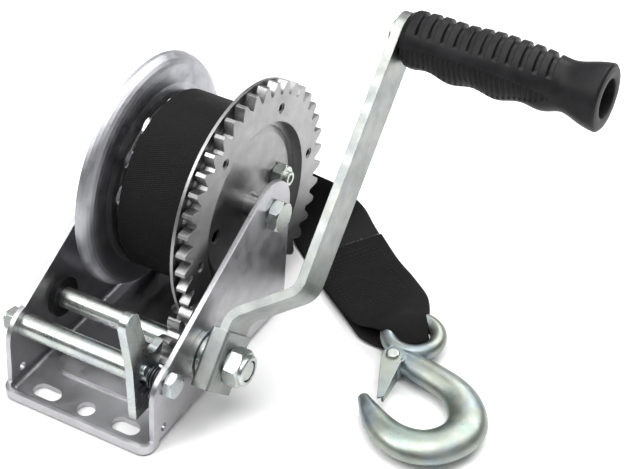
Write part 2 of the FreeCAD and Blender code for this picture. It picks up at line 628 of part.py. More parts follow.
def strap_tail():
    # free end of the strap: down behind the drum, a slow turn on to the floor, then to the eye
    w = STRAP_W
    t = STRAP_T
    xm = (WIND_X0 + WIND_X1) / 2.0
    a = math.radians(20.0)
    r = WIND_R + STRAP_T / 2.0 + 0.5
    y0 = DRUM_Y + r * math.cos(a)
    z0 = DRUM_Z + r * math.sin(a)
    two = 2.0 * t
    stations = [
        ((xm, y0, z0), (1, 0, 0), w, t),
        ((xm - 0.5, y0 + 8.4, z0 - 20.0), (1, 0, 0), w, t),
        ((xm - 1.0, y0 + 15.1, z0 - 41.0), (0.99, 0.13, 0.03), w, t),
        ((16.7, y0 + 29.7, 27.3), (0.92, 0.34, 0.21), w, t),
        ((32.0, y0 + 32.3, 11.1), (0.80, 0.55, 0.25), w, t),
        ((46.5, y0 + 23.2, 5.3), (0.69, 0.71, 0.17), w, t),
        ((61.3, 193.6, 4.8), (0.62, 0.78, 0.12), w, two),
        ((76.3, 181.8, 4.9), (0.58, 0.81, 0.10), w, two),
        ((92.1, 170.6, 6.2), (0.56, 0.82, 0.12), w, two),
        ((104.0, 162.3, 7.4), (0.57, 0.81, 0.12), w - 3.0, two + 0.4),
        ((110.6, 158.9, 8.8), (0.60, 0.80, 0.0), 22.0, 4.6)]
    body = ribbon(stations, 4)
    axis = Vector(0.60, 0.80, 0)
    out = Vector(-0.80, 0.60, 0)
    mid = Vector(*EYE) + out * EYE_R
    run = out * -4.3
    hole = EYE_WIRE + 0.7
    band = loop_solid(mid, run, axis, hole + 2.9, LOOP_W)
    gap = loop_solid(mid, run, axis, hole, LOOP_W + 20.0)
    return body.fuse(band).cut(gap)


def hook_body():
    # forged hook lying on its side: eye, neck, bowl, tip
    mids = [
        (129.0, 126.0, 13.0, 12.0), (140.0, 125.5, 15.8, 12.4), (155.0, 122.5, 17.4, 13.4),
        (169.8, 117.2, 19.2, 13.8), (180.9, 106.3, 21.5, 13.8), (184.7, 93.9, 22.6, 13.8),
        (180.9, 82.3, 22.8, 13.8), (172.0, 73.8, 22.3, 13.8), (158.4, 71.2, 20.4, 13.6),
        (146.8, 74.8, 17.0, 12.6), (136.7, 81.4, 12.6, 11.0), (128.0, 89.0, 6.8, 8.0)]
    wires = []
    last = len(mids) - 1
    for k, (x, y, w, h) in enumerate(mids):
        before = mids[max(0, k - 1)]
        after = mids[min(last, k + 1)]
        t = Vector(after[0] - before[0], after[1] - before[1], 0).normalize()
        side = Vector(-t.y, t.x, 0)
        ring = []
        for j in range(8):
            a = 2.0 * math.pi * j / 8.0
            c = Vector(x, y, HOOK_Z + h / 2.0 * math.sin(a))
            ring.append(c + side * (w / 2.0 * math.cos(a)))
        curve = Part.BSplineCurve()
        curve.interpolate(Points=ring, PeriodicFlag=True)
        wires.append(Part.Wire(curve.toShape()))
    body = Part.makeLoft(wires, True, False)
    tip = Part.makeSphere(3.6, Vector(128.0, 89.0, HOOK_Z))
    eye = Part.makeTorus(EYE_R, EYE_WIRE, Vector(*EYE), Vector(0, 0, 1))
    boss = Part.makeCylinder(PIN_BOSS, 12.0, Vector(PIN[0], PIN[1] + 1.4, HOOK_Z - 6.0))
    neck = Part.makeBox(15.0, 10.0, 8.6, Vector(EYE[0] - 6.0, PIN[1] + 4.0, HOOK_Z - 4.0))
    return body.fuse(tip).fuse(boss).fuse(neck).fuse(eye).cut(latch_pin(RIVET_R + 0.05))


def latch_pin(radius):
    return Part.makeCylinder(radius, 40.0, Vector(PIN[0], PIN[1], HOOK_Z - 20.0))


def hook_latch_rivet():
    low = Vector(PIN[0], PIN[1], HOOK_Z - 5.9)
    top = HOOK_Z + LATCH_UP + LATCH_T + SEAT
    body = Part.makeCylinder(RIVET_R, top + 0.5 - low.z, low)
    head = Part.makeCylinder(3.9, 1.8, Vector(PIN[0], PIN[1], top))
    rim = [e for e in head.Edges if isinstance(e.Curve, Part.Circle) and e.BoundBox.ZMin > top + 1.0]
    return body.fuse(head.makeFillet(1.3, rim))


def hook_latch():
    # keeper: flat leaf on the neck with a round ear, and a web down its throat side
    x = PIN[0]
    y = PIN[1]
    z0 = HOOK_Z + LATCH_UP
    tip = [(x + 8.2, y - 33.6), (x + 11.0, y - 31.2)]
    pts = [(x - 5.6, y - 3.0)] + tip + [(x + 6.4, y - 1.5)]
    wire = Part.makePolygon([Vector(a, b, z0) for a, b in pts] + [Vector(pts[0][0], pts[0][1], z0)])
    body = Part.Face(wire).extrude(Vector(0, 0, LATCH_T))
    body = body.fuse(Part.makeCylinder(5.6, LATCH_T, Vector(x, y, z0)))
    # the web follows the throat edge from below the neck to the tip
    a = Vector(x + 7.5, y - 8.6, z0)
    b = Vector(x + 10.9, y - 31.0, z0)
    side = Vector(b.y - a.y, a.x - b.x, 0).normalize() * LATCH_T
    corners = [a, b, b - Vector(0, 0, 3.4), a - Vector(0, 0, 8.6), a]
    web = Part.Face(Part.makePolygon(corners)).extrude(side)
    return body.fuse(web).cut(latch_pin(RIVET_R + RUN))


NODES = {
    "winch_frame": winch_frame,
    "drum_left_flange": drum_left_flange,
    "drum_right_flange": drum_right_flange,
    "drum_barrel": drum_barrel,
    "drum_bush_left": lambda: drum_bush(LEFT_X - FLANGE_T, LEFT_X + 6.0),
    "drum_bush_right": lambda: drum_bush(DISC_X - 5.0, DISC_X + 1.2 + FLANGE_T),
    "drum_gear": drum_gear,
    "gear_rivets": gear_rivets,
    "strap_anchor_bolt": strap_anchor_bolt,
    "strap_anchor_nut": strap_anchor_nut,
    "strap_winding": strap_winding,
    "axle_bolt": axle_bolt,
    "axle_nut": axle_nut,
    "axle_sleeve": axle_sleeve,
    "crank_shaft": crank_shaft,
    "shaft_clip": shaft_clip,
    "left_bush": left_bush,
    "right_bush": right_bush,
    "pinion": pinion,
    "crank_washer": crank_washer,
    "crank_spacer": crank_spacer,
    "crank_arm": crank_arm,
    "crank_clip": crank_clip,
    "crank_nut": crank_nut,
    "crank_nut_insert": crank_nut_insert,
    "grip_axle": grip_axle,
    "grip": grip,
    "pawl": pawl,
    "pawl_stud": pawl_stud,
    "pawl_bolt": pawl_bolt,
    "pawl_nut": pawl_nut,
    "pawl_sleeve": pawl_sleeve,
    "pawl_spring": pawl_spring,
    "strap_tail": strap_tail,
    "hook_body": hook_body,
    "hook_latch": hook_latch,
    "hook_latch_rivet": hook_latch_rivet,
}

for name, make in NODES.items():
    save(name, make())
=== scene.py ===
# %% [markdown]
# # A boat trailer winch
#
# This file builds the looks of a hand-cranked winch around its design model. The design model
# supplies every hard part in its place, so those parts only get a material. The pieces that need
# finer shape are modelled here: the ribbed grip, the wound strap, and the strap's free end with
# its sewing. Lengths are metres. X runs across the winch towards the crank, Y to the rear and Z
# up. The random numbers start from a fixed seed, so every run gives the same winch.

# %% A boat trailer winch
import bpy
import bmesh
import json
import math
import random
from mathutils import Matrix, Vector


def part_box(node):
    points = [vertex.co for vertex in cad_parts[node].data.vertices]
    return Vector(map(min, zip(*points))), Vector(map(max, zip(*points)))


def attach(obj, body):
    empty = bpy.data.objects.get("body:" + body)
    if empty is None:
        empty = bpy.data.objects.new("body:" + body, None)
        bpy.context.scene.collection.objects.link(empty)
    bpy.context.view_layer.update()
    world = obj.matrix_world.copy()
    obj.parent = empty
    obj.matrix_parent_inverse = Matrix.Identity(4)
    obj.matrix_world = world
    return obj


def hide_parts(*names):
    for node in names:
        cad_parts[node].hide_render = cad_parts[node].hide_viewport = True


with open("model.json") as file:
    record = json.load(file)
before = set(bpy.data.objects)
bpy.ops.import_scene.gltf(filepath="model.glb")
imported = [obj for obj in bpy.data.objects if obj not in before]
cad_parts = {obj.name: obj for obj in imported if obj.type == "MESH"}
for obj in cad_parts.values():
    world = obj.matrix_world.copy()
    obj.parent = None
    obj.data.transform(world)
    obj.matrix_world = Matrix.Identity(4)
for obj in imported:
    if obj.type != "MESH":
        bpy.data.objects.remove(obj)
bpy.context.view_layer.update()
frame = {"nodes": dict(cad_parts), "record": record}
random.seed(7)

# %% [markdown]
# ## Shader maths written as Python
#
# `Wire` wraps one socket of a node tree. The ordinary operators add Math nodes, so a pattern can
# be written as a formula. `node` adds any other kind of node and plugs values or wires into it.
# The nodes could be placed one by one, but a formula is shorter and shows what the pattern does.

# %% Shader maths written as Python
class Wire:
    def __init__(self, tree, socket=None):
        self.tree = tree
        self.socket = socket

    def node(self, kind, inputs=(), out=0, **props):
        made = self.tree.nodes.new("ShaderNode" + kind)
        for key, value in props.items():
            setattr(made, key, value)
        for key, value in dict(inputs).items():
            if isinstance(value, Wire):
                self.tree.links.new(value.socket, made.inputs[key])
            else:
                made.inputs[key].default_value = value
        return Wire(self.tree, made.outputs[out])

    def maths(self, operation, *values):
        return self.node("Math", enumerate(values), operation=operation)

    def __add__(self, other):
        return self.maths("ADD", self, other)

    def __sub__(self, other):
        return self.maths("SUBTRACT", self, other)

    def __mul__(self, other):
        return self.maths("MULTIPLY", self, other)

    def __truediv__(self, other):
        return self.maths("DIVIDE", self, other)

    def __pow__(self, other):
        return self.maths("POWER", self, other)

    def __rsub__(self, other):
        return self.maths("SUBTRACT", other, self)

    def __rtruediv__(self, other):
        return self.maths("DIVIDE", other, self)

    __radd__ = __add__
    __rmul__ = __mul__

    def sin(self):
        return self.maths("SINE", self)

    def abs(self):
        return self.maths("ABSOLUTE", self)

    def ramp(self, low, high, to_low=0.0, to_high=1.0):
        return self.node("MapRange", {0: self, 1: low, 2: high, 3: to_low, 4: to_high})

    def mix(self, a, b):
        return self.node("Mix", {0: self, 6: a, 7: b}, out=2, data_type="RGBA")


# %% [markdown]
# ## A material and its coordinates
#
# `begin` returns a fresh material, its Principled shader, and two wires: the whole tree and the
# object coordinates. All pieces keep their origin at the winch's origin, so object coordinates
# are the same metres everywhere and one grain size suits a small nut and the large frame.

# %% A material and its coordinates
def begin(name, roughness, metallic, specular=0.5):
    made = bpy.data.materials.new(name)
    made.use_nodes = True
    tree = made.node_tree
    shader = tree.nodes["Principled BSDF"]
    shader.inputs["Roughness"].default_value = roughness
    shader.inputs["Metallic"].default_value = metallic
    shader.inputs["Specular IOR Level"].default_value = specular
    top = Wire(tree)
    place = top.node("TexCoord", out="Object")
    return made, shader, top, place


def plug(shader, name, wire):
    wire.tree.links.new(wire.socket, shader.inputs[name])


def noise(top, place, scale, detail=3.0, rough=0.5):
    inputs = {"Vector": place, "Scale": scale, "Detail": detail, "Roughness": rough}
    return top.node("TexNoise", inputs)


def bumped(top, height, distance, edge=0.0):
    # height in 0..1, distance in metres; edge softens corners with a small virtual fillet
    inputs = {"Height": height, "Distance": distance, "Strength": 1.0}
    if edge > 0.0:
        inputs["Normal"] = top.node("Bevel", {"Radius": edge}, samples=4)
    return top.node("Bump", inputs)


# %% [markdown]
# ## Metals
#
# One recipe makes every metal. Broad mottling moves the colour between two tones, a fine grain
# breaks up the highlight, sparse specks stand for pits in the plating, and a slow film colour
# gives the faint yellow, green and blue of a zinc finish. Each finish could be its own recipe, but
# the real parts are all plated steel and differ mainly in tone, gloss and film.

# %% Metals
FILM_BLUE = (0.78, 0.86, 0.96, 1)
FILM_YELLOW = (0.98, 0.95, 0.82, 1)
FILM_GREEN = (0.80, 0.92, 0.84, 1)


def zinc_film(top, place, colour, amount):
    swirl = noise(top, place, 38.0, 2.0)
    hue = swirl.node("ValToRGB", {0: swirl})
    stops = hue.socket.node.color_ramp.elements
    stops[0].position = 0.38
    stops[0].color = FILM_BLUE
    stops[1].position = 0.64
    stops[1].color = FILM_GREEN
    stops.new(0.5).color = FILM_YELLOW
    inputs = {0: amount, 6: colour, 7: hue}
    return top.node("Mix", inputs, out=2, data_type="RGBA", blend_type="MULTIPLY")

# %% [markdown]
# ## Plated steel
#
# Steel parts of a winch are dipped or plated against rust, which leaves a mottled tone, a broken
# highlight and small pits. An image texture would need a drawing for every part. Noise on object
# coordinates fits any part, so one function makes every metal.

# %% Plated steel
PIT = (0.16, 0.17, 0.18, 1)
GRAIN_DEPTH = 0.00005


def metal(name, dark, light, rough, grain=0.5, film=0.0, specks=0.0, edge=0.0004):
    made, shader, top, place = begin(name, rough, 1.0)
    broad = noise(top, place, 55.0, 4.0, 0.6)
    fine = noise(top, place, 1900.0, 2.0)
    tone = (broad * 0.75 + fine * 0.25).ramp(0.34, 0.66)
    colour = tone.mix(dark + (1,), light + (1,))
    if film > 0.0:
        colour = zinc_film(top, place, colour, film)
    if specks > 0.0:
        spots = top.node("TexVoronoi", {"Vector": place, "Scale": 420.0}, out="Distance")
        pick = noise(top, place, 160.0, 1.0).ramp(0.60, 0.64)
        mark = spots.ramp(0.10, 0.20, 1.0, 0.0) * pick * specks
        colour = mark.mix(colour, PIT)
    plug(shader, "Base Color", colour)
    patch = noise(top, place, 130.0, 4.0, 0.65)
    sheen = (patch * 0.7 + fine * 0.3).ramp(0.3, 0.7, rough * 0.72, rough * 1.35)
    plug(shader, "Roughness", sheen)
    height = fine * grain + noise(top, place, 420.0, 3.0) * 0.5
    plug(shader, "Normal", bumped(top, height, GRAIN_DEPTH, edge))
    return made

# %% [markdown]
# ## The metals of the winch
#
# The frame is galvanised sheet, the drum's flange and the gear are darker plate without film
# colour, and the bolts, the crank and the hook are zinc plated, the hook with the strongest film.
# Each could be a function of its own, but a table is easier to compare and to tune.

# %% The metals of the winch
# dark tone, light tone, roughness, grain, film, specks, softened edge in metres
METALS = {
    "galvanised": ((0.40, 0.395, 0.41), (0.52, 0.515, 0.535), 0.36, 0.5, 0.0, 0.25, 0.0008),
    "flange_steel": ((0.36, 0.365, 0.39), (0.47, 0.475, 0.50), 0.42, 0.9, 0.0, 0.0, 0.0005),
    "gear_steel": ((0.26, 0.26, 0.26), (0.35, 0.35, 0.348), 0.36, 0.6, 0.0, 0.2, 0.0004),
    "zinc": ((0.42, 0.45, 0.44), (0.58, 0.61, 0.595), 0.30, 0.35, 0.35, 0.7, 0.0006),
    "hook_zinc": ((0.28, 0.31, 0.30), (0.39, 0.42, 0.405), 0.42, 1.0, 0.75, 0.9, 0.0006),
    "bar_zinc": ((0.23, 0.242, 0.235), (0.34, 0.355, 0.345), 0.38, 0.6, 0.25, 0.8, 0.0006),
    "steel": ((0.34, 0.34, 0.35), (0.5, 0.5, 0.5), 0.35),
    "dark_steel": ((0.05, 0.05, 0.055), (0.10, 0.10, 0.11), 0.4, 0.4)}
MATERIALS = {name: metal(name, *values) for name, values in METALS.items()}
print("metals made:", ", ".join(MATERIALS))

# %% [markdown]
# ## Rubber, plastic and webbing
#
# Rubber and plastic are near black with a soft uneven sheen. The webbing pattern reads the UV map
# in metres: u runs across the strap and v along it. Warp ribs run along the strap and small
# picks cross them, each rib offset from the next as in a twill. Real threads would need millions
# of faces, so the weave is a bump that follows the strap round every bend.

# %% Rubber, plastic and webbing
def dull(name, dark, light, rough, grain):
    made, shader, top, place = begin(name, rough, 0.0, 0.16)
    cloud = noise(top, place, 90.0, 4.0, 0.6)
    fine = noise(top, place, 2400.0, 3.0)
    tone = (cloud * 0.6 + fine * 0.4).ramp(0.35, 0.65)
    plug(shader, "Base Color", tone.mix(dark + (1,), light + (1,)))
    plug(shader, "Roughness", (cloud * 0.5 + fine * 0.5).ramp(0.3, 0.7, rough * 0.8, rough * 1.2))
    plug(shader, "Normal", bumped(top, fine * grain + cloud * 0.3, 0.00012))
    return made

# %% [markdown]
# ## Woven webbing
#
# A ribbon's UV map counts metres across and along it, so two sine waves give ribs and picks at
# their true spacing. A picture of cloth would blur close up. Each rib's number shifts its picks,
# which makes the twill.

# %% Woven webbing
RIB_PITCH = 0.0016
PICK_PITCH = 0.0012
TWILL_SHIFT = 0.0006
WEAVE_GAP = (0.0009, 0.0009, 0.001, 1)


def webbing(name, peak, sewn_from=0.0):
    # peak is the colour of a raised rib; a sewn flap starts sewn_from metres along and is darker
    made, shader, top, place = begin(name, 0.62, 0.0, 0.14)
    u = top.node("SeparateXYZ", {0: top.node("TexCoord", out="UV")})
    v = Wire(top.tree, u.socket.node.outputs[1])
    rib = (u * (math.pi / RIB_PITCH)).sin().abs()
    ribs = u / RIB_PITCH
    shift = ribs.maths("FLOOR", ribs) * TWILL_SHIFT
    pick = ((v + shift) * (math.pi / PICK_PITCH)).sin().abs()
    weave = rib * 0.35 + pick * 0.65
    fuzz = noise(top, place, 1500.0, 3.0)
    wear = noise(top, place, 70.0, 4.0, 0.6)
    tone = (weave * 0.55 + fuzz * 0.25 + wear * 0.35).ramp(0.25, 0.95)
    if sewn_from > 0.0:
        tone = tone * v.ramp(sewn_from, sewn_from + 0.004, 1.0, 0.4)
    plug(shader, "Base Color", tone.mix(WEAVE_GAP, peak + (1,)))
    plug(shader, "Roughness", wear.ramp(0.3, 0.7, 0.50, 0.72))
    plug(shader, "Normal", bumped(top, weave + fuzz * 0.3, 0.00034))
    return made

# %% [markdown]
# ## The dull finishes
#
# The grip is rubber, one bush and the nut's insert are nylon, and the sewing is thread. Each
# could have its own function, but all are dull and differ only in tone, gloss and grain, so they
# share one. The webbing has its own, because its pattern follows the cloth.

# %% The dull finishes
DULL = {
    "rubber": ((0.0055, 0.0055, 0.0062), (0.017, 0.017, 0.0185), 0.46, 0.5),
    "black_plastic": ((0.008, 0.008, 0.009), (0.02, 0.02, 0.022), 0.42, 0.2),
    "blue_nylon": ((0.010, 0.016, 0.05), (0.02, 0.03, 0.09), 0.38, 0.2),
    "thread": ((0.22, 0.19, 0.14), (0.46, 0.42, 0.33), 0.7, 0.3),
    "stitching": ((0.006, 0.006, 0.007), (0.02, 0.02, 0.022), 0.55, 0.3)}
MATERIALS.update({name: dull(name, *values) for name, values in DULL.items()})
# The wound strap's webbing has a darker peak than the free end's. This is painted shade: the same
# webbing, made darker where the winding lies in shade.
MATERIALS["webbing"] = webbing("webbing", (0.010, 0.0095, 0.010))
print("finishes made:", len(MATERIALS))

# %% [markdown]
# ## A finish for every part
#
# The design model names a material slot for every part, and a part gets the finish of its slot.
# Materials could be set part by part, but a loop cannot miss one. The crank's arm and clip are a
# darker zinc than the bolts, so those two are changed afterwards.

# %% A finish for every part
for part in frame["record"]["subparts"]:
    node = frame["nodes"][part["node"]]
    node.data.materials.clear()
    node.data.materials.append(MATERIALS[part["material_slot"]])
for name in ("crank_arm", "crank_clip"):
    frame["nodes"][name].data.materials[0] = MATERIALS["bar_zinc"]

# %% [markdown]
# ## Making a mesh piece
#
# `finish_mesh` turns a bmesh into an object at the winch's origin, with its material and smooth
# faces. `tube_grid` bends a flat grid made by an operator into a closed skin: one side of the grid
# runs along the piece and the other goes round it. A sculpted mesh could do the same, but a grid
# bent by a formula can be made finer or longer by changing one number.

# %% Making a mesh piece
def finish_mesh(bm, name, material, body, smooth=True):
    bmesh.ops.recalc_face_normals(bm, faces=bm.faces)
    for face in bm.faces:
        face.smooth = smooth
    mesh = bpy.data.meshes.new(name)
    bm.to_mesh(mesh)
    bm.free()
    mesh.materials.append(MATERIALS[material])
    made = bpy.data.objects.new(name, mesh)
    bpy.context.scene.collection.objects.link(made)
    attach(made, body)
    print(name, "has", len(mesh.polygons), "faces")
    return made


def close_up(bm):
    # weld the seam and cap the open ends
    bmesh.ops.remove_doubles(bm, verts=bm.verts, dist=1e-7)
    bmesh.ops.holes_fill(bm, edges=[e for e in bm.edges if e.is_boundary], sides=0)


def tube_grid(along, round_, place):
    # place(s, t) gives the point for s in 0..1 along and t in 0..1 round; the seam is welded
    bm = bmesh.new()
    bmesh.ops.create_grid(bm, x_segments=along, y_segments=round_, size=0.5)
    for vert in bm.verts:
        vert.co = place(vert.co.x + 0.5, vert.co.y + 0.5)
    close_up(bm)
    return bm


def node_middle(name):
    low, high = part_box(name)
    return (Vector(low) + Vector(high)) / 2.0


# %% [markdown]
# ## Grip
#
# The real grip is a moulded rubber sleeve that turns on a pin. The skin follows one radius
# formula. It starts from a plain handle with finger swells below and a flared end, then cuts
# eleven slanted grooves on top and a lens-shaped band of narrow ribs along the side. Cutting
# each groove as a separate solid would leave sharp seams that moulded rubber does not have.

# %% Grip
GRIP_LOW, GRIP_HIGH = [Vector(v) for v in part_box("grip")]
GRIP_MID = (GRIP_LOW + GRIP_HIGH) / 2.0
GRIP_LEN = GRIP_HIGH.x - GRIP_LOW.x
print("grip", round(GRIP_LEN, 4), "m long")


def step(low, high, value):
    k = max(0.0, min(1.0, (value - low) / (high - low)))
    return k * k * (3.0 - 2.0 * k)


def grip_radius(s, angle):
    # angle 0 is up, positive towards the front
    down = max(0.0, -math.cos(angle))
    up = max(0.0, math.cos(angle))
    r = 15.0 + 1.6 * math.sin(math.pi * min(1.0, s * 1.25))
    swell = math.cos(2.0 * math.pi * (s - 0.26) / 0.235)
    r += down * 1.3 * swell * step(0.95, 0.7, s) * step(0.0, 0.1, s)
    r -= up * 1.3 * math.exp(-((s - 0.28) / 0.10) ** 2)
    r -= 1.2 * math.exp(-((s - 0.80) / 0.09) ** 2)
    r += 3.2 * step(0.80, 1.0, s)
    return r

# %% [markdown]
# ## Grooves and ribs
#
# Moulded grooves let a wet palm hold the grip. They could be cut with booleans, one solid for
# each. Here they are a depth taken off the radius, which keeps the skin one closed mesh and lets
# every groove lean a little and fade out at its ends.

# %% Grooves and ribs
GROOVES = 11
GROOVE_PITCH = 0.0655      # share of the length
GROOVE_DEPTH = 2.2         # millimetres, as are the sizes in grip_radius
GROOVE_BACK = -75.0        # degrees round from the top
GROOVE_FRONT = 52.0
RIB_STEP = 3.05            # millimetres between the side ribs


def grip_cut(s, angle):
    # grooves on the top half, leaning over as they come round to the front
    depth = 0.0
    turn = math.degrees(angle)
    if GROOVE_BACK < turn < GROOVE_FRONT:
        lean = -0.020 * (turn / 60.0)
        low = 0.080 - lean * 0.6
        k = (s - low) / GROOVE_PITCH
        if -0.5 < k < GROOVES - 0.5:
            off = abs(k - round(k)) * GROOVE_PITCH * GRIP_LEN * 1000.0
            end = step(GROOVE_FRONT, 44.0, turn) * step(GROOVE_BACK, -66.0, turn)
            depth = GROOVE_DEPTH * step(1.75, 1.15, off) * end
    lens = 1.0 - ((s - 0.37) / 0.40) ** 2
    if lens > 0.0:
        top = 96.0 - 26.0 * math.sqrt(lens)
        bottom = 96.0 + 42.0 * lens
        if top < turn < bottom:
            k = s * GRIP_LEN * 1000.0 / RIB_STEP
            off = abs(k - round(k)) * RIB_STEP
            edge = min(step(top, top + 5.0, turn), step(bottom, bottom - 5.0, turn))
            depth = max(depth, 1.0 * step(1.05, 0.55, off) * edge)
    return depth
print("grooves:", GROOVES, "at", round(GROOVE_PITCH * GRIP_LEN * 1000.0, 2), "mm")

# %% [markdown]
# ## Grip skin
#
# The grip's outer end is open, with a bore inside it. A tube with a separate ring for the mouth
# would show a seam. One grid runs along the outside, over the end and back into the bore.

# %% Grip skin
BORE_R = 0.0105            # open end, metres
SKIN_MAX_R = 0.0191


def grip_point(s, t):
    # s up to 0.90 is the outside, then the end face, then the wall of the open bore
    angle = 2.0 * math.pi * t - math.pi
    if s <= 0.90:
        k = s / 0.90
        r = (grip_radius(k, angle) - grip_cut(k, angle)) / 1000.0
        round_off = 0.0016 * (step(0.03, 0.0, k) + step(0.985, 1.0, k))
        x = GRIP_LOW.x + GRIP_LEN * k
        r -= round_off
    elif s <= 0.93:
        k = (s - 0.90) / 0.03
        r = (grip_radius(1.0, angle) / 1000.0 - 0.0016) * (1 - k) + BORE_R * k
        x = GRIP_HIGH.x + 0.0004 * math.sin(math.pi * k) - 0.0004
    else:
        k = (s - 0.93) / 0.07
        r = BORE_R - 0.001 * k
        x = GRIP_HIGH.x - 0.0004 - 0.0154 * k
    r = min(r, SKIN_MAX_R)
    return Vector((x, GRIP_MID.y - r * math.sin(angle), GRIP_MID.z + r * math.cos(angle)))


bm = tube_grid(420, 180, grip_point)
grip = finish_mesh(bm, "grip_skin", "rubber", "grip")
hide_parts("grip")

# %% [markdown]
# ## Wound strap
#
# The strap is one long flat band wound in a spiral, so its side shows the layers. Every turn
# wanders sideways a little, as hand-wound webbing does. Stacked rings would be simpler, but they
# would not give one continuous length. The band is a grid four faces round, bent into the spiral:
# inner face, right edge, outer face and left edge.

# %% Wound strap
AXIS = node_middle("drum_gear")
WIND_LOW, WIND_HIGH = [Vector(v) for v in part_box("strap_winding")]
R_OUT = (WIND_HIGH.z - WIND_LOW.z) / 2.0
R_IN = 0.0224
WEB = 0.0016
TURNS = (R_OUT - R_IN) / WEB - 1.0
SEGMENTS = 96


def wander(turn):
    return 0.0006 * math.sin(turn * 2.4) + 0.0005 * math.sin(turn * 5.1 + 1.0)


EDGE_ROOM = 0.0014
FACE_ROOM = 0.0001
LAYER_GAP = 0.00008
LAYER_SHARE = 0.9          # part of the pitch that the webbing fills
COLUMNS = int(TURNS * SEGMENTS)
WIND_START = math.radians(20.0) - TURNS * 2.0 * math.pi
wound_width = (WIND_HIGH.x - EDGE_ROOM) - (WIND_LOW.x + EDGE_ROOM)
SIDES = [(0.0, wound_width), (wound_width, wound_width + WEB),
         (wound_width, 0.0), (wound_width + WEB, wound_width)]


def wound_radii(turn):
    inner = R_IN + WEB * turn + LAYER_GAP
    return inner, min(inner + WEB * LAYER_SHARE, R_OUT - FACE_ROOM)


WOUND = [0.0]
for k in range(COLUMNS):
    WOUND.append(WOUND[-1] + 2.0 * math.pi * wound_radii(k / SEGMENTS)[1] / SEGMENTS)
wound_length = WOUND[-1] + 2.0 * math.pi * wound_radii(COLUMNS / SEGMENTS)[1] / SEGMENTS


def wound_point(column, corner):
    turn = column / SEGMENTS
    a = WIND_START + turn * 2.0 * math.pi
    r = wound_radii(turn)[1 if corner in (2, 3) else 0]
    x = WIND_HIGH.x - EDGE_ROOM if corner in (1, 2) else WIND_LOW.x + EDGE_ROOM
    return Vector((x + wander(turn), AXIS.y + r * math.cos(a), AXIS.z + r * math.sin(a)))


print("strap on the drum:", round(TURNS, 1), "turns,", round(wound_length, 3), "m")

# %% [markdown]
# ## The band in its spiral
#
# Webbing on a drum shows a smooth outer turn and a side made of layers, and a plain cylinder
# would show only the first. A grid four faces round is a band with square edges. Its UV map holds
# metres, so the weave keeps its scale on every turn.

# %% The band in its spiral
bm = bmesh.new()
uv = bm.loops.layers.uv.new("UVMap")
bmesh.ops.create_grid(bm, x_segments=COLUMNS, y_segments=4, size=0.5, calc_uvs=True)
for face in bm.faces:
    side = int(sum(loop[uv].uv.y for loop in face.loops))
    start_u, end_u = SIDES[side]
    for loop in face.loops:
        s, t = loop[uv].uv
        u = start_u + (end_u - start_u) * round(t * 4.0 - side)
        loop[uv].uv = (u, WOUND[round(s * COLUMNS)])
for vert in bm.verts:
    column = round((vert.co.x + 0.5) * COLUMNS)
    vert.co = wound_point(column, round((vert.co.y + 0.5) * 4.0) % 4)
close_up(bm)
winding = finish_mesh(bm, "wound_strap", "webbing", "drum", smooth=False)
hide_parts("strap_winding")

# %% [markdown]
# ## Free end of the strap
#
# One long ribbon makes the whole free end. It comes down behind the drum, turns on to the floor,
# runs to the hook's eye, folds inside it and comes back on top of itself as a sewn flap. Each row
# of the table is a centre, the direction across the strap, half its width and how far its edges
# droop, in millimetres. A cloth simulation could find the shape, but it would not put the edges
# where they belong, and a curve through known places does.

# %% Free end of the strap
HALF_WEB = WEB / 2.0
LOWER = [
    ((3.9, 157.7, 93.3), (1, 0, 0), 24.0, 0.0),
    ((3.4, 166.1, 73.3), (1, 0, 0), 24.0, 0.0),
    ((2.9, 172.8, 52.3), (0.99, 0.13, 0.03), 24.0, 0.0),
    ((16.7, 187.4, 27.3), (0.92, 0.34, 0.21), 24.0, 0.6),
    ((32.0, 190.0, 11.1), (0.80, 0.55, 0.25), 24.0, 0.6),
    ((46.5, 180.9, 4.7), (0.69, 0.71, 0.17), 24.0, 0.2),
    ((61.3, 169.6, 3.9), (0.62, 0.78, 0.12), 24.0, 0.0),
    ((76.3, 157.8, 4.0), (0.58, 0.81, 0.10), 24.0, 0.0),
    ((92.1, 146.6, 5.2), (0.56, 0.82, 0.12), 24.0, 0.0)]
FOLD = [
    ((104.0, 137.5, 5.6), (0.57, 0.81, 0.10), 23.6, 0.4),
    ((112.0, 131.0, 3.8), (0.57, 0.82, 0.06), 22.0, 0.6),
    ((120.5, 125.0, 2.4), (0.58, 0.81, 0.02), 16.5, 0.3),
    ((127.5, 120.5, 3.2), (0.60, 0.80, 0.0), 10.5, 0.0),
    ((132.6, 117.6, 7.4), (0.60, 0.80, 0.0), 8.2, 0.0),
    ((128.6, 120.4, 12.0), (0.60, 0.80, 0.0), 9.6, 1.6),
    ((121.0, 126.0, 15.2), (0.60, 0.80, 0.0), 15.0, 3.0),
    ((113.6, 131.2, 13.2), (0.58, 0.81, 0.05), 20.0, 2.4),
    ((105.6, 137.0, 9.6), (0.57, 0.81, 0.10), 23.2, 1.0)]


def lifted(row, height):
    mid, across, half, droop = row
    run = Vector((0.81, -0.57, 0.0))
    normal = run.cross(Vector(across)).normalized()
    return (tuple(Vector(mid) + normal * height), across, half + 0.3, droop)


FLAP = [lifted(row, 1.75) for row in reversed(LOWER[5:])]
PATH = LOWER + FOLD + FLAP
FLAP_PART = 0.60
print("places along the strap:", len(PATH))

# %% [markdown]
# ## A smooth curve through the table
#
# The real webbing bends without corners between those places. A curve object could follow them,
# but its handles would be tuned by hand. A Catmull-Rom curve passes through every row by itself,
# and smooths the direction, the width and the droop along with the centre.

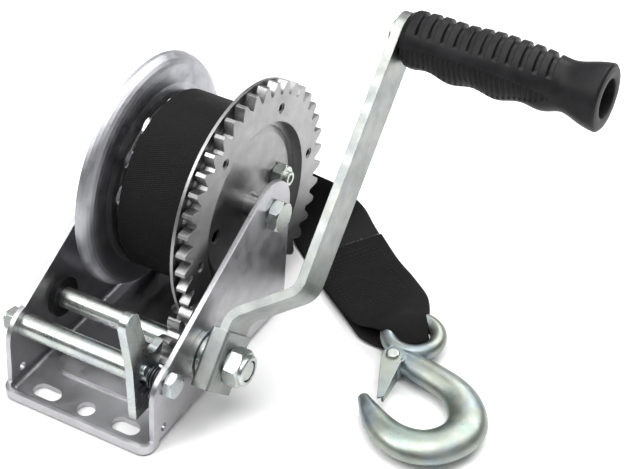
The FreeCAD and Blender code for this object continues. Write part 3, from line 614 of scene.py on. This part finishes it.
# %% A smooth curve through the table
def catmull(rows, s):
    # smooth curve through rows of numbers; s runs 0..1 over all of them
    last = len(rows) - 1
    k = min(int(s * last), last - 1)
    u = s * last - k
    a, b, c, d = [rows[min(max(k + j, 0), last)] for j in (-1, 0, 1, 2)]
    out = []
    for p0, p1, p2, p3 in zip(a, b, c, d):
        m1 = (p2 - p0) / 2.0
        m2 = (p3 - p1) / 2.0
        out.append((2 * u ** 3 - 3 * u ** 2 + 1) * p1 + (u ** 3 - 2 * u ** 2 + u) * m1
                   + (3 * u ** 2 - 2 * u ** 3) * p2 + (u ** 3 - u ** 2) * m2)
    return out


ROWS = [[*mid, *across, half, droop] for mid, across, half, droop in PATH]
END = (len(ROWS) - 1 - FLAP_PART) / (len(ROWS) - 1)


def strap_frame(s):
    row = catmull(ROWS, s)
    ahead = catmull(ROWS, min(s + 0.004, 1.0))
    behind = catmull(ROWS, max(s - 0.004, 0.0))
    mid = Vector(row[0:3])
    across = Vector(row[3:6]).normalized()
    along = (Vector(ahead[0:3]) - Vector(behind[0:3])).normalized()
    normal = across.cross(along).normalized()
    return mid, across, normal, row[6], row[7]


def on_strap(s, u, height=0.0):
    # u is -1..1 across; height is millimetres off the middle of the ply
    mid, across, normal, half, droop = strap_frame(s)
    drop = Vector((0, 0, -droop * u * u))
    wave = 0.12 * math.sin(u * 5.0 + s * 60.0)
    return (mid + across * (half * u) + normal * (height + wave) + drop) / 1000.0


print("cut end at", tuple(round(v, 4) for v in on_strap(END, 0.0)))

# %% [markdown]
# ## Ribbon
#
# Webbing is thin, and its edges are round. A flat sheet with a Solidify modifier would have
# square edges. One grid goes over the upper face and back under the lower one, and thins to
# nothing at both edges. Its UV map counts metres along the strap, for the weave and for where the
# sewing starts.

# %% Ribbon
SLICES = 260
BOTH_FACES = 0.096         # twice the width of the strap, metres
LENGTHS = [0.0]
for k in range(SLICES):
    a = Vector(catmull(ROWS, END * k / SLICES)[0:3])
    b = Vector(catmull(ROWS, END * (k + 1) / SLICES)[0:3])
    LENGTHS.append(LENGTHS[-1] + (b - a).length / 1000.0)


def ribbon_point(s, t):
    # t runs over the top face from one edge to the other, then back under the bottom face
    side = 1.0 if t < 0.5 else -1.0
    k = t * 2.0 if t < 0.5 else 2.0 - t * 2.0
    u = -math.cos(math.pi * k) * 0.35 + (2.0 * k - 1.0) * 0.65
    thick = HALF_WEB * 1000.0 * (1.0 - abs(u) ** 14)
    return on_strap(s * END, u, side * thick)


# the sewn, darker part starts where the strap turns back through the eye
SEWN_FROM = LENGTHS[int(SLICES * (len(LOWER) + 3) / (len(ROWS) - 1) / END)]
# The free end is the same webbing as the winding with a lighter peak. It is the lit copy beside
# the painted shade on the wound strap.
MATERIALS["sewn_webbing"] = webbing("sewn_webbing", (0.026, 0.025, 0.0265), SEWN_FROM)
print("free end of the strap", round(LENGTHS[-1], 4), "m long, sewn from", round(SEWN_FROM, 4))
bm = bmesh.new()
uv = bm.loops.layers.uv.new("UVMap")
bmesh.ops.create_grid(bm, x_segments=SLICES, y_segments=64, size=0.5, calc_uvs=True)
for face in bm.faces:
    for loop in face.loops:
        s, t = loop[uv].uv
        loop[uv].uv = ((t if t < 0.5 else 1.0 - t) * BOTH_FACES, LENGTHS[int(round(s * SLICES))])
for vert in bm.verts:
    vert.co = ribbon_point(vert.co.x + 0.5, vert.co.y + 0.5)
close_up(bm)
tail = finish_mesh(bm, "strap_free_end", "sewn_webbing", "frame")
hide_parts("strap_tail")

# %% [markdown]
# ## Sewing
#
# Black thread holds the flap: a border, a cross between its corners and a dense bar near each end.
# Each stitch is a small bead pressed into the webbing. The cut end of the flap shows pale fibres,
# so both are modelled: they stand proud of the strap and catch the light at its edge.

# %% Sewing
FLAP_START = (len(LOWER) + len(FOLD) - 1) / (len(ROWS) - 1)


def stitch_row(a, b, count):
    # a and b are (0..1 along the flap, -1..1 across)
    out = []
    for k in range(count):
        f = (k + 0.5) / count
        out.append((a[0] + (b[0] - a[0]) * f, a[1] + (b[1] - a[1]) * f))
    return out


def flap_s(f):
    # f = 0 at the eye end of the sewing, 1 at the cut end
    return FLAP_START + (END - FLAP_START) * f


SPOTS = []
for f in (0.10, 0.15, 0.20):
    SPOTS += stitch_row((f, -0.72), (f, 0.72), 15)
for f in (0.80, 0.85, 0.90):
    SPOTS += stitch_row((f, -0.74), (f, 0.74), 15)
for u in (-0.74, -0.62, 0.62, 0.74):
    SPOTS += stitch_row((0.10, u), (0.90, u), 20)
SPOTS += stitch_row((0.20, -0.60), (0.80, 0.60), 20)
SPOTS += stitch_row((0.20, 0.60), (0.80, -0.60), 20)
print("stitches:", len(SPOTS))

# %% [markdown]
# ## Stitches
#
# A stitch is a short raised bead of thread. A bump could show the rows from far off, but there
# are few enough beads to model, and they keep their shadow at a low angle. Each is a small
# icosphere, flattened, stretched across the strap and set a little off its place, as real
# stitches are.

# %% Stitches
BEAD_R = 0.00052
BEAD_LIFT = 0.00082
BEAD_SKEW = 0.00012


def up_frame(s):
    # across the strap, and the normal on its upper side
    across, normal = strap_frame(s)[1:3]
    return across, -normal if normal.z < 0.0 else normal


bm = bmesh.new()
for f, u in SPOTS:
    s = flap_s(f)
    across, normal = up_frame(s)
    made = bmesh.ops.create_icosphere(bm, subdivisions=1, radius=BEAD_R)
    place = on_strap(s, u) + normal * BEAD_LIFT
    place += Vector((random.uniform(-1, 1), random.uniform(-1, 1), 0)) * BEAD_SKEW
    for vert in made["verts"]:
        x, y, z = vert.co
        vert.co = place + across * x * 1.9 + normal * z * 0.5 + normal.cross(across) * y
finish_mesh(bm, "strap_stitches", "stitching", "frame")

# %% [markdown]
# ## Cut end
#
# Cut webbing frays, and its loose fibres are paler than the black face. Hair could make them, but
# a mesh is simpler to export. Each fibre is a cone with four sides, so hundreds of them stay
# light.

# %% Cut end
FIBRES = 230
FIBRE_HALF = 0.00011
bm = bmesh.new()
across, normal = up_frame(END)
out = normal.cross(across).normalized()
if out.x > 0.0:
    out = -out
SQUARE = Matrix.Rotation(math.radians(45.0), 4, "Z")
for k in range(FIBRES):
    u = -0.985 + 1.97 * k / (FIBRES - 1.0) + random.uniform(-0.004, 0.004)
    root = on_strap(END, u) + normal * random.uniform(-0.0005, 0.0007)
    short = random.random() < 0.9
    reach = random.uniform(0.0002, 0.0009) if short else random.uniform(0.001, 0.0022)
    tip = root + out * reach + across * random.uniform(-0.0004, 0.0004)
    tip += normal * random.uniform(0.0, 0.0003)
    made = bmesh.ops.create_cone(bm, cap_ends=True, cap_tris=False, segments=4,
                                 radius1=math.sqrt(2.0), radius2=0.0, depth=2.0, matrix=SQUARE)
    for vert in made["verts"]:
        x, y, z = vert.co
        base = root - out * 0.0003 + (across * x + normal * y) * FIBRE_HALF
        vert.co = tip if z > 0.0 else base
finish_mesh(bm, "strap_fray", "thread", "frame")

# %% [markdown]
# ## Stage
#
# A winch is shown on a plain pale floor, so that nothing but the winch draws the eye. A curved
# backdrop would do too, but the camera looks down and sees only floor. It lies just under the
# mounting face, so the two surfaces never share a place.

# %% Stage
scene = bpy.context.scene
bm = bmesh.new()
bmesh.ops.create_grid(bm, x_segments=2, y_segments=2, size=6.0)
mesh = bpy.data.meshes.new("floor")
bm.to_mesh(mesh)
bm.free()
floor = bpy.data.objects.new("floor", mesh)
floor.location.z = -0.0002
scene.collection.objects.link(floor)
pale, shader, top, place = begin("pale_floor", 0.9, 0.0, 0.1)
cloud = noise(top, place, 3.0)
plug(shader, "Base Color", cloud.mix((0.90, 0.90, 0.90, 1), (0.93, 0.93, 0.93, 1)))
mesh.materials.append(pale)
print("floor laid", round(-floor.location.z * 1000.0, 2), "mm under the winch")

# %% [markdown]
# ## Lights
#
# Large area lights give plated metal long soft highlights, where small lamps would give hard
# spots. The key light is at the front left, a weak fill stands on the crank side, one light is
# behind and one overhead.

# %% Lights
def soft_light(name, place, target, size, power):
    data = bpy.data.lights.new(name, "AREA")
    data.shape = "RECTANGLE"
    data.size = size[0]
    data.size_y = size[1]
    data.energy = power
    made = bpy.data.objects.new(name, data)
    made.location = place
    made.rotation_euler = (Vector(target) - Vector(place)).to_track_quat("-Z", "Y").to_euler()
    scene.collection.objects.link(made)
    return made


key = soft_light("key", (-0.75, -0.75, 1.35), (0.05, 0.06, 0.05), (0.75, 0.75), 14.0)
fill = soft_light("fill", (1.5, -0.5, 0.55), (0.05, 0.06, 0.06), (0.5, 0.9), 1.6)
rear = soft_light("rear", (0.35, 1.3, 1.2), (0.05, 0.06, 0.06), (1.5, 0.6), 18.0)
over = soft_light("over", (0.1, 0.1, 1.9), (0.05, 0.06, 0.05), (1.6, 1.6), 32.0)
print("lights:", ", ".join(light.name for light in (key, fill, rear, over)))

# %% [markdown]
# ## Sky
#
# Metal mirrors what is around it. A sky of one tone would leave plated steel looking like grey
# paint, and a picture of a studio would need a file. A ramp that is dark at the horizon and
# bright overhead is enough to give the steel its contrast.

# %% Sky
world = bpy.data.worlds.new("studio")
world.use_nodes = True
scene.world = world
air = Wire(world.node_tree)
facing = air.node("SeparateXYZ", {0: air.node("TexCoord", out="Generated")}, out=2)
glow = facing.ramp(0.30, 0.95)
backdrop = world.node_tree.nodes["Background"]
sky = glow.mix((0.07, 0.07, 0.075, 1), (1.0, 1.0, 1.0, 1))
plug(backdrop, "Color", sky)
backdrop.inputs["Strength"].default_value = 0.8
scene.view_settings.view_transform = "Standard"
print("sky strength", backdrop.inputs["Strength"].default_value)

# %% [markdown]
# ## Camera
#
# The camera looks down from the crank side. It could be aimed by a constraint, but that leaves no
# roll. Two angles and a small roll give its three directions, and a long lens keeps the near
# parts from looking stretched.

# %% Camera
AZ = math.radians(29.23)
EL = math.radians(39.58)
ROLL = math.radians(0.65)
back = Vector((math.sin(AZ) * math.cos(EL), -math.cos(AZ) * math.cos(EL), math.sin(EL)))
right = Vector((0, 0, 1)).cross(back).normalized()
up = back.cross(right)
rolled_right = right * math.cos(ROLL) + up * math.sin(ROLL)
rolled_up = up * math.cos(ROLL) - right * math.sin(ROLL)
data = bpy.data.cameras.new("camera")
data.lens = 103.88
data.sensor_width = 36.0
data.shift_x = -0.0136
data.shift_y = 0.0168
data.clip_start = 0.05
camera = bpy.data.objects.new("camera", data)
turned = Matrix((rolled_right, rolled_up, back)).transposed().to_4x4()
turned.translation = Vector((0.4454, -0.5515, 0.6885))
camera.matrix_world = turned
scene.collection.objects.link(camera)
scene.camera = camera
print("camera", round(turned.translation.length, 3), "m from the origin")
